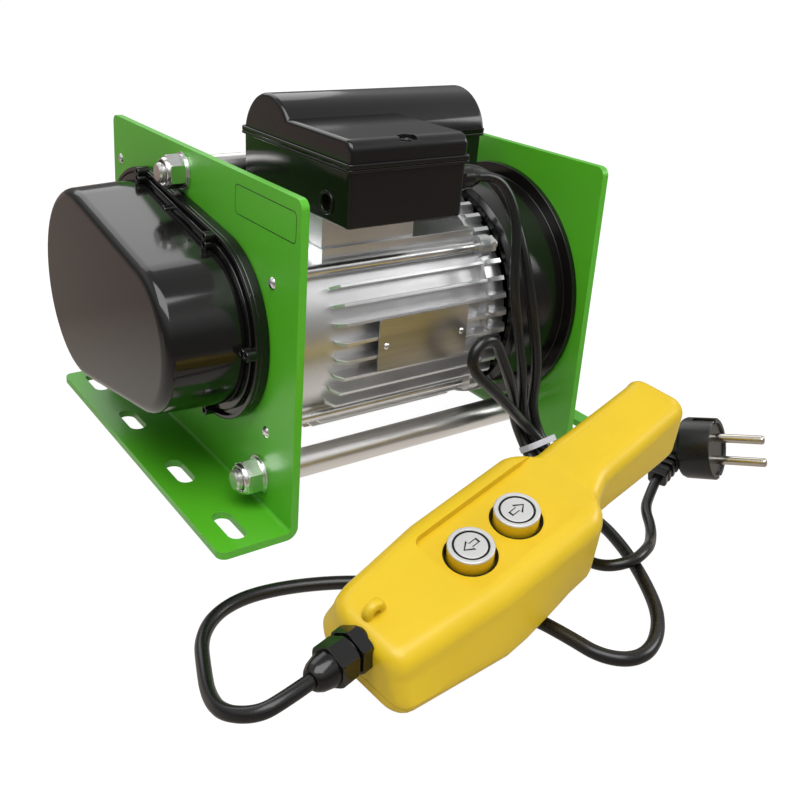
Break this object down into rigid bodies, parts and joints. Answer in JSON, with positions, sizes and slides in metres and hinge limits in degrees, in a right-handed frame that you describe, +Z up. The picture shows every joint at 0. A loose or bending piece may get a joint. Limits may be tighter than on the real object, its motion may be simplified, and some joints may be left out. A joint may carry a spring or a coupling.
{
  "type": "electric winch",
  "caption": "Electric rope winch on flanged side plates, with finned motor, gear cover, terminal box and corded pendant.",
  "frame": {"origin": "centre of the pattern of base slots, at the underside of the feet", "axes": "+X from the gear cover's side to the fan's side along the drum, +Y from the motor to the drum, +Z up"},
  "size_m": [0.5166, 0.5547, 0.2965],
  "materials": {
    "green_paint": "smooth gloss powder coat",
    "zinc_steel": "bright zinc plated",
    "polished_steel": "turned and lightly polished",
    "gear_steel": "machined and oiled",
    "motor_aluminium": "die cast, bright",
    "black_gloss": "gloss black",
    "black_satin": "satin black",
    "pendant_yellow": "smooth moulded yellow",
    "button_silver": "satin silver",
    "black_rubber": "smooth black",
    "tie_white": "pale translucent",
    "pin_nickel": "nickel plated",
    "nameplate_metal": "brushed, blank",
    "copper_windings": "varnished",
    "core_steel": "laminated",
    "bearing_steel": "ground",
    "bronze": "sintered bronze",
    "cream_plastic": "moulded",
    "can_aluminium": "drawn can"
  },
  "bodies": {
    "winch": {"side_plate_left": "green_paint", "side_plate_right": "green_paint", "tie_rod_front": "polished_steel", "tie_rod_rear": "polished_steel", "tie_rod_top": "polished_steel", "tie_washers": "zinc_steel", "tie_nuts": "zinc_steel", "plate_rivets": "zinc_steel", "motor_housing": "motor_aluminium", "motor_end_drive": "motor_aluminium", "motor_end_fan": "motor_aluminium", "motor_rods": "zinc_steel", "stator": "core_steel", "stator_windings": "copper_windings", "motor_bearings": "bearing_steel", "brake_magnet": "core_steel", "fan_cover": "black_satin", "nameplate": "nameplate_metal", "nameplate_rivets": "zinc_steel", "drum_bearings": "bearing_steel", "bearing_housing": "black_gloss", "housing_screws": "zinc_steel", "gearbox_base": "black_gloss", "gearbox_cover": "black_gloss", "cover_screws": "zinc_steel", "layshaft_bushes": "bronze", "terminal_box_base": "black_satin", "terminal_box_lid": "black_satin", "lid_screw": "zinc_steel", "capacitor": "can_aluminium", "capacitor_cradles": "black_satin", "terminal_block": "cream_plastic", "terminal_box_glands": "black_satin", "pendant_front": "pendant_yellow", "pendant_back": "pendant_yellow", "switch_block": "black_satin", "button_seals": "black_rubber", "pendant_gland": "black_satin", "plug_body": "black_rubber", "plug_pins": "pin_nickel", "strain_relief": "black_rubber", "mains_cord": "black_rubber", "pendant_cord": "black_rubber", "cord_tie": "tie_white"},
    "drum_set": {"drum": "gear_steel", "drum_shaft": "gear_steel", "drum_gear": "gear_steel", "rope_clamp": "zinc_steel"},
    "layshaft_two": {"layshaft_second": "gear_steel"},
    "layshaft_one": {"layshaft_first": "gear_steel"},
    "rotor_set": {"rotor_shaft": "gear_steel", "rotor": "core_steel", "brake_disc": "gear_steel", "fan": "black_satin"},
    "raise_button": {"button_up": "pendant_yellow", "button_cap_up": "button_silver"},
    "lower_button": {"button_down": "pendant_yellow", "button_cap_down": "button_silver"}
  },
  "joints": [
    {"name": "drum_spin", "type": "hinge", "parent": "winch", "child": "drum_set", "pos_m": [0, 0.091, 0.121], "axis": [1, 0, 0], "continuous": true},
    {"name": "layshaft_two_spin", "type": "hinge", "parent": "winch", "child": "layshaft_two", "pos_m": [0, 0.02972, 0.10637], "axis": [1, 0, 0], "continuous": true},
    {"name": "layshaft_one_spin", "type": "hinge", "parent": "winch", "child": "layshaft_one", "pos_m": [0, -0.00808, 0.13753], "axis": [1, 0, 0], "continuous": true},
    {"name": "rotor_spin", "type": "hinge", "parent": "winch", "child": "rotor_set", "pos_m": [0, -0.053, 0.1255], "axis": [1, 0, 0], "continuous": true},
    {"name": "raise_press", "type": "slide", "parent": "winch", "child": "raise_button", "axis": [0.0685, 0.1198, -0.9904], "range_m": [0, 0.004], "stiffness_N_per_m": 600, "springref_m": -0.001},
    {"name": "lower_press", "type": "slide", "parent": "winch", "child": "lower_button", "axis": [0.0685, 0.1198, -0.9904], "range_m": [0, 0.004], "stiffness_N_per_m": 600, "springref_m": -0.001}
  ],
  "couplings": [
    {"joint": "layshaft_two_spin", "follows": "drum_spin", "ratio": -3.3077},
    {"joint": "layshaft_one_spin", "follows": "drum_spin", "ratio": 12.128},
    {"joint": "rotor_spin", "follows": "drum_spin", "ratio": -50.534}
  ]
}
